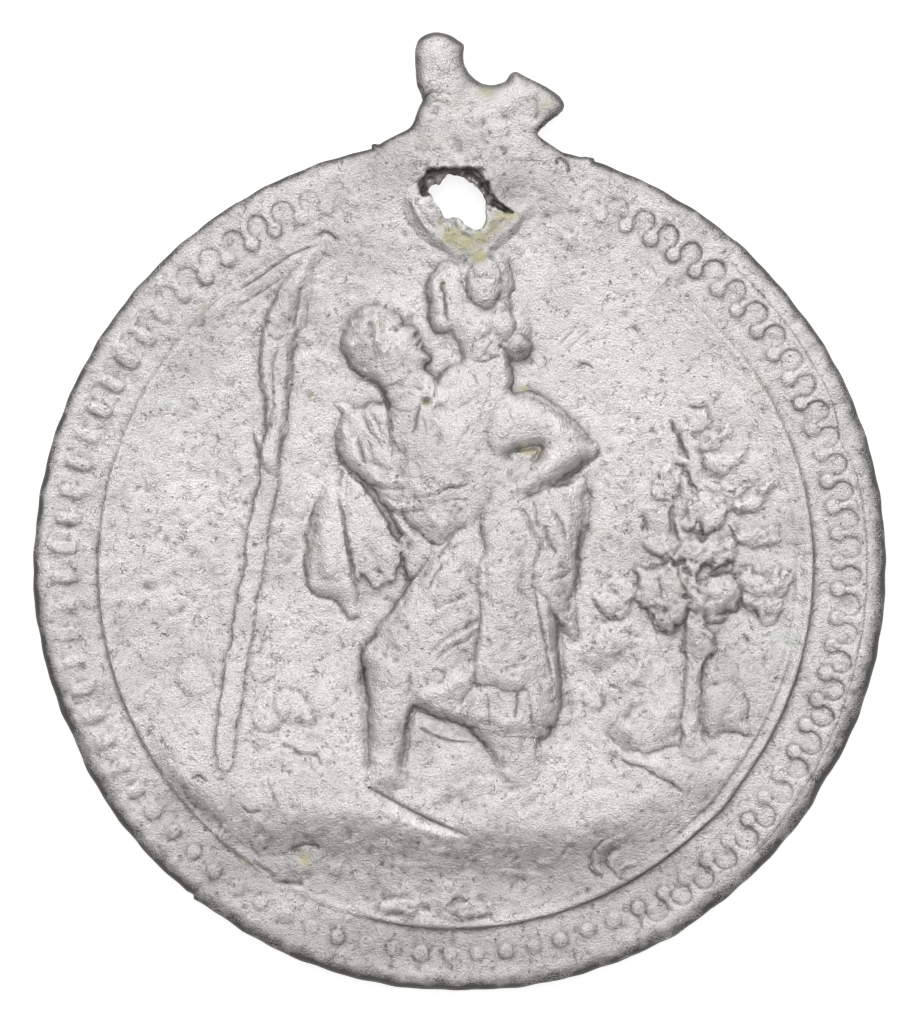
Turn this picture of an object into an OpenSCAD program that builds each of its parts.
// Saint Christopher medal: one piece of light metal, lying on its flat back.
// Origin at the centre of the disc on the back face, +Z towards the viewer, +Y towards the broken eye.

/* [Disc] */
// Diameter of the disc
disc_d = 30; // [29.8:0.1:31]
// Thickness of the border band
band_t = 1.5; // [1.3:0.05:1.7]
// Width of the bevel around the front edge
front_bevel_w = 0.45; // [0.2:0.05:0.6]
// Drop of the bevel around the front edge
front_bevel_h = 0.5; // [0.2:0.05:0.7]
// Size of the small bevel around the back edge
back_bevel = 0.2; // [0.1:0.05:0.4]

/* [Design] */
// Centre of the design across, which sits a little off the centre of the disc
design_x = -0.18; // [-0.3:0.01:0.3]
// Centre of the design up
design_y = -0.16; // [-0.3:0.01:0.3]
// Radius of the picture field
field_r = 12.57; // [12.3:0.01:12.8]
// Depth of the picture field below the border band
field_drop = 0.12; // [0.05:0.01:0.2]

/* [Border] */
// Number of tongues in a full turn
tongue_count = 86; // [60:1:90]
// Radius of the circle through the centres of the rounded tips
tip_ring_r = 13.5; // [13.3:0.01:13.7]
// Radius where the tongues join the raised rim
rim_inner_r = 14.2; // [14:0.01:14.3]
// Radius of a rounded tip
tip_r = 0.24; // [0.18:0.01:0.3]
// Width of the stem behind a tip
stem_w = 0.28; // [0.2:0.01:0.34]
// Rise of the rim and the tongues above the border band
tongue_rise = 0.12; // [0.05:0.01:0.2]
// Angle at which the tongues are worn away beside the eye
worn_from = 72; // [60:1:80]
// Angle at which the tongues begin again on the other side of the eye
worn_to = 112; // [100:1:120]

/* [Eye and hole] */
// Thickness of the broken eye
eye_t = 1.4; // [1:0.05:1.4]
// Height at which the broken eye starts above the back
eye_lift = 0.06; // [0.02:0.01:0.2]
// Radius of the notch that is left of the opening of the eye
notch_r = 0.84; // [0.7:0.01:0.9]
// Radius of the crater around the pierced hole, at the front
crater_r = 1.9; // [1.6:0.05:2.1]
// Depth of that crater
crater_depth = 0.4; // [0.2:0.05:0.6]

/* [Relief] */
// Height of the highest relief above the back, on the chest
relief_top = 2.1; // [2:0.05:2.4]
// Height of the ground mound above the back
mound_top = 1.73; // [1.6:0.01:1.9]

/* [Hidden] */
$fn = 48;

light_metal = [0.76, 0.75, 0.74];
disc_r = disc_d / 2;
field_z = band_t - field_drop;
// Raised shapes start inside the metal: patches at root_z, the rim and tongues root_depth down.
root_z = 0.6;
root_depth = 0.4;
through = 1;
round_fn = 180;

hole_x = -0.05;
hole_y = 12.85;
throat_r = 1;
notch_x = 1.08;
notch_y = 17.78;

// Outlines run around their shape, and each row is [across, up].
EYE_OUTLINE = [
    [-5.2, 13.4], [-4.2, 14.4], [-3.4, 14.65], [-2.5, 15.05], [-1.75, 15.5], [-1.42, 16.1],
    [-1.4, 16.6], [-1.6, 17.5], [-1.62, 18.0], [-1.45, 18.5], [-1.0, 18.72], [-0.4, 18.7],
    [0.0, 18.45], [0.13, 18.0], [0.3, 17.2], [1.7, 17.2], [1.95, 17.42], [2.45, 17.2],
    [3.0, 16.95], [3.5, 16.55], [3.68, 16.25], [3.3, 15.7], [2.85, 15.25], [3.1, 14.95],
    [4.1, 14.4], [5.2, 13.4]
];
HOLE_OUTLINE = [
    [-0.5, 13.76], [0, 13.7], [0.63, 13.27], [0.9, 12.85], [0.9, 12.25], [0.85, 11.98],
    [0.5, 11.85], [-0.23, 12.25], [-0.55, 12.25], [-1.1, 13.15], [-0.98, 13.4]
];
SHOULDER_CLOAK = [
    [-4.4, 5.1], [-4.05, 5.8], [-2.8, 6.0], [-1.95, 5.1], [-1.75, 2.3], [-2.1, 0.9],
    [-2.65, 1.6], [-3.9, 3.35]
];
HANGING_CLOAK = [
    [-5.0, 4.05], [-4.05, 4.0], [-2.1, 1.6], [-1.7, -0.35], [-2.3, -1.4], [-3.15, -0.85],
    [-3.65, -1.65], [-5.2, -1.05], [-5.45, 0.2]
];
TORSO = [
    [-2.45, 5.85], [-1.05, 6.8], [0.7, 7.05], [1.85, 6.6], [1.6, 5.8], [2.3, 3.9],
    [1.9, 2.1], [1.4, 0.9], [-0.35, 0.7], [-1.75, 1.25], [-2.65, 3.0]
];
ROBE = [
    [-1.75, 0.9], [1.4, 1.25], [2.45, 2.3], [3.5, 3.0], [4.4, 2.65], [4.55, 0.2],
    [4.05, -2.6], [3.9, -5.4], [2.65, -5.6], [2.45, -4.4], [0.7, -4.3], [0.55, -5.6],
    [-1.7, -4.9], [-1.9, -4.4], [-3.35, -4.4], [-3.5, -3.0], [-2.8, -1.55], [-1.95, -0.5]
];
ROBE_PANEL = [
    [0.9, 1.95], [2.2, 2.2], [2.5, -0.2], [2.9, -4.2], [0.8, -4.1], [0.6, -1.2]
];
LEFT_LEG = [[-3.35, -4.2], [-1.65, -4.6], [-1.6, -7.9], [-3.2, -7.85]];
RIGHT_LEG = [[0.5, -4.9], [2.85, -5.1], [3.0, -7.5], [1.6, -7.7], [1.05, -6.3]];
CHILD_ROBE = [[0.2, 9.0], [1.9, 9.2], [2.45, 7.9], [2.3, 6.9], [0.4, 6.8]];
MOUND = [
    [-9.6, -7.9], [-8.2, -7.2], [-3.2, -7.5], [3.0, -7.3], [7.4, -6.6], [9.3, -7.0],
    [8.6, -8.4], [5.2, -9.3], [0, -9.9], [-5.2, -9.4]
];
FOREGROUND = [
    [-8.9, -8.2], [0, -9.2], [8.6, -8.0], [7.2, -9.8], [4.4, -11.5], [0.0, -12.3],
    [-4.6, -11.6], [-7.6, -9.7]
];

// Heights of the flat patches above the back, from the furthest to the nearest.
LEG_TOP = 1.65;
CLOTH_TOP = 1.69;
CHILD_TOP = 1.73;
SHOULDER_TOP = 1.77;
PANEL_TOP = 1.84;
TORSO_TOP = 1.88;
FOREGROUND_DROP = 0.15;

// Round bars run from row to row: each row is [across, up, height of the axis, radius].
STAFF = [
    [-8.2, -6.9, 1.33, 0.33], [-6.72, 4.1, 1.32, 0.36], [-6.1, 8.4, 1.24, 0.7],
    [-5.1, 11.2, 1.33, 0.33]
];
CLOAK_FOLD = [[-3.6, 4.6, 1.41, 0.5], [-2.4, 2.2, 1.44, 0.4]];
NEAR_ARM = [[1.5, 5.2, 1.40, 0.62], [4.1, 4.0, 1.38, 0.5], [2.1, 2.6, 1.43, 0.42]];
FAR_ARM = [[-1.2, 6.1, 1.48, 0.55], [1.6, 6.5, 1.43, 0.42]];
THIGH = [[-0.9, -0.4, 1.39, 0.6], [-2.3, -3.2, 1.40, 0.55]];
CHILD_ARM = [[-0.2, 8.6, 1.33, 0.4], [-0.45, 10.1, 1.31, 0.32]];
TREE_TRUNK = [[8.1, -6.2, 1.33, 0.34], [8.5, -1.6, 1.35, 0.26], [8.9, 5.2, 1.38, 0.16]];

// Rounded rises: each row is [across, up, radius, height of the top above the back].
CHEST = [[-0.9, 3.9, 1.7, relief_top]];
KNEE = [[-2.0, -2.6, 1.4, relief_top - 0.05]];
HEAD_AND_BEARD = [[-2.6, 7.8, 1.45, 2.06], [-1.6, 7.0, 0.8, 1.91]];
CHILD_HEAD_AND_ORB = [[1.0, 9.95, 0.82, 1.95], [1.95, 7.75, 0.5, 1.84]];
EYE_HORN = [[-0.74, 17.7, 0.78, band_t + tongue_rise]];
ROCKS = [
    [-9.3, -3.8, 0.55, 1.65], [-6.7, -5.1, 0.75, 1.69], [-5.6, -5.2, 0.7, 1.68],
    [4.9, -4.6, 0.5, 1.58], [6.6, -5.7, 1.3, 1.63], [9.0, -5.1, 0.9, 1.68],
    [7.2, -0.9, 0.8, 1.77], [6.7, 0.1, 0.55, 1.69]
];
LEAVES = [
    [9.0, 5.4, 0.4, 1.54], [8.1, 4.3, 0.5, 1.62], [9.3, 4.0, 0.5, 1.60], [7.2, 3.0, 0.55, 1.63],
    [8.6, 2.9, 0.6, 1.65], [10.1, 3.0, 0.5, 1.60], [6.7, 1.6, 0.5, 1.62], [8.1, 1.7, 0.65, 1.68],
    [9.5, 1.6, 0.6, 1.65], [10.6, 1.1, 0.5, 1.60], [8.9, 0.2, 0.7, 1.69], [10.0, -0.4, 0.6, 1.65],
    [8.2, -1.1, 0.65, 1.69], [9.2, -1.4, 0.6, 1.66], [10.9, -1.2, 0.5, 1.59]
];

// A flat raised patch with the given outline.
module patch(outline, top) {
    translate([0, 0, root_z])
        linear_extrude(height = top - root_z)
            polygon(outline);
}

// Rounded rises: the caps of spheres that come out of the field.
module rises(rows) {
    for (row = rows)
        let (r = row[2], top = row[3], rise = top - field_z, ball_r = (r * r + rise * rise) / (2 * rise))
            translate([row[0], row[1], top - ball_r])
                intersection() {
                    sphere(r = ball_r, $fn = 64);
                    translate([-2 * r, -2 * r, ball_r - rise - root_depth])
                        cube([4 * r, 4 * r, rise + root_depth + through]);
                }
}

// One round bar along +Z, with a ball a little wider than the bar at each end.
module bar(long, r_a, r_b) {
    ball_over = 1.04;
    cylinder(h = long, r1 = r_a, r2 = r_b);
    sphere(r = r_a * ball_over);
    translate([0, 0, long])
        sphere(r = r_b * ball_over);
}

// Round bars from row to row.
module bars(rows) {
    for (i = [0 : len(rows) - 2])
        let (a = rows[i], b = rows[i + 1], d = [b[0] - a[0], b[1] - a[1], b[2] - a[2]])
            translate([a[0], a[1], a[2]])
                rotate([0, acos(d[2] / norm(d)), atan2(d[1], d[0])])
                    bar(norm(d), a[3], b[3]);
}

// The plain disc, with a bevel at the front edge and a small one at the back.
module blank() {
    rotate_extrude($fn = round_fn)
        polygon([
            [0, 0], [disc_r - back_bevel, 0], [disc_r, back_bevel],
            [disc_r, band_t - front_bevel_h],
            [disc_r - front_bevel_w, band_t], [0, band_t]
        ]);
}

// What is left of the eye: a plate with two broken horns and a round notch between them.
module broken_eye() {
    difference() {
        translate([0, 0, eye_lift])
            linear_extrude(height = eye_t)
                polygon(EYE_OUTLINE);
        translate([notch_x, notch_y, -through])
            cylinder(h = band_t + 2 * through, r = notch_r);
    }
    rises(EYE_HORN);
}

// One tongue of the border along +X: a stem with a rounded tip.
module tongue(height) {
    stem_run = 0.2;
    translate([tip_ring_r, 0, 0])
        cylinder(h = height, r = tip_r, $fn = 24);
    translate([tip_ring_r, -stem_w / 2, 0])
        cube([rim_inner_r - tip_ring_r + stem_run, stem_w, height]);
}

// The raised rim with its tongues, which are worn away beside the eye.
module border() {
    rim_outer_r = disc_r - front_bevel_w - 0.2;
    height = root_depth + tongue_rise;
    translate([0, 0, band_t - root_depth]) {
        difference() {
            cylinder(h = height, r = rim_outer_r, $fn = round_fn);
            translate([design_x, design_y, -through])
                cylinder(h = height + 2 * through, r = rim_inner_r, $fn = round_fn);
        }
        translate([design_x, design_y, 0])
            for (i = [0 : tongue_count - 1])
                let (angle = i * 360 / tongue_count)
                    if (angle < worn_from || angle > worn_to)
                        rotate([0, 0, angle]) tongue(height);
    }
}

// The shallow round field that holds the picture.
module field_recess() {
    translate([design_x, design_y, field_z])
        cylinder(h = band_t, r = field_r, $fn = round_fn);
}

// The ragged hole that was pierced through the top of the disc, with its crater.
module pierced_hole() {
    translate([0, 0, -through])
        linear_extrude(height = relief_top + 2 * through)
            polygon(HOLE_OUTLINE);
    translate([hole_x, hole_y, band_t - crater_depth])
        cylinder(h = crater_depth * 2, r1 = throat_r, r2 = 2 * crater_r - throat_r);
}

module cloak() {
    patch(SHOULDER_CLOAK, SHOULDER_TOP);
    patch(HANGING_CLOAK, LEG_TOP);
    bars(CLOAK_FOLD);
}

module torso() {
    patch(TORSO, TORSO_TOP);
    rises(CHEST);
    bars(NEAR_ARM);
    bars(FAR_ARM);
}

module robe_and_legs() {
    patch(ROBE, CLOTH_TOP);
    patch(ROBE_PANEL, PANEL_TOP);
    rises(KNEE);
    bars(THIGH);
    patch(LEFT_LEG, CLOTH_TOP);
    patch(RIGHT_LEG, LEG_TOP);
}

module child() {
    patch(CHILD_ROBE, CHILD_TOP);
    rises(CHILD_HEAD_AND_ORB);
    bars(CHILD_ARM);
}

module tree() {
    bars(TREE_TRUNK);
    rises(LEAVES);
}

module ground() {
    patch(MOUND, mound_top);
    patch(FOREGROUND, mound_top - FOREGROUND_DROP);
    rises(ROCKS);
}

module medal() {
    color(light_metal)
        difference() {
            union() {
                difference() {
                    union() {
                        blank();
                        broken_eye();
                        border();
                    }
                    field_recess();
                }
                bars(STAFF);
                cloak();
                torso();
                robe_and_legs();
                rises(HEAD_AND_BEARD);
                child();
                tree();
                ground();
            }
            pierced_hole();
        }
}

medal();
